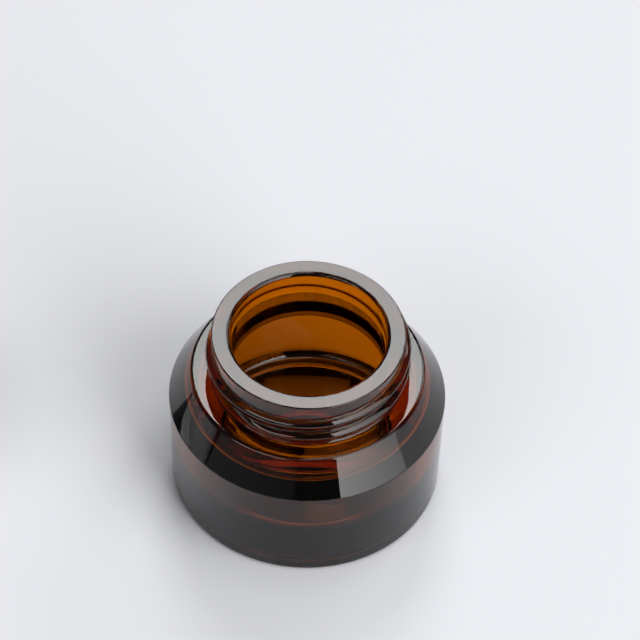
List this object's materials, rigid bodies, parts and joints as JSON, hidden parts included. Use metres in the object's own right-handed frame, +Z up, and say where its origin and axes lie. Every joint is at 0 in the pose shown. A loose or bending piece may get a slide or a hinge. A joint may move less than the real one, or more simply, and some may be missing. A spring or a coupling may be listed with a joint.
{
  "type": "cosmetic cream jar",
  "caption": "Thick-walled amber glass cream jar with a sloping shoulder and a screw neck, with its screw lid, liner and sealing disc laid beside it.",
  "frame": {"origin": "centre of the jar's bearing ring, on the table", "axes": "+Z up along the jar's axis, out of its mouth; the lid lies upside down towards -X"},
  "size_m": [0.133, 0.051, 0.0379],
  "materials": {
    "amber_glass": "polished amber glass",
    "black_cap": "gloss",
    "white_cap_insert": "satin moulded",
    "foam_liner": "matt foam",
    "sealing_disc": "satin translucent"
  },
  "bodies": {
    "jar": {"glass_jar": "amber_glass"},
    "disc": {"seal_disc": "sealing_disc"},
    "liner": {"liner": "foam_liner"},
    "cap": {"inner_cap": "white_cap_insert", "outer_cap": "black_cap"}
  },
  "joints": [
    {"name": "lid_carry", "type": "hinge", "parent": "jar", "child": "disc", "pos_m": [-0.043, 0, 0.0256], "axis": [0, 1, 0], "range_deg": [0, 180]},
    {"name": "lid_travel", "type": "slide", "parent": "disc", "child": "liner", "axis": [0, 0, 1], "range_m": [0, 0.0085]},
    {"name": "lid_turn", "type": "hinge", "parent": "liner", "child": "cap", "pos_m": [-0.086, 0, 0], "axis": [0, 0, 1], "range_deg": [0, 900]}
  ],
  "couplings": [
    {"joint": "lid_turn", "follows": "lid_travel", "rad_per_m": 1848}
  ]
}
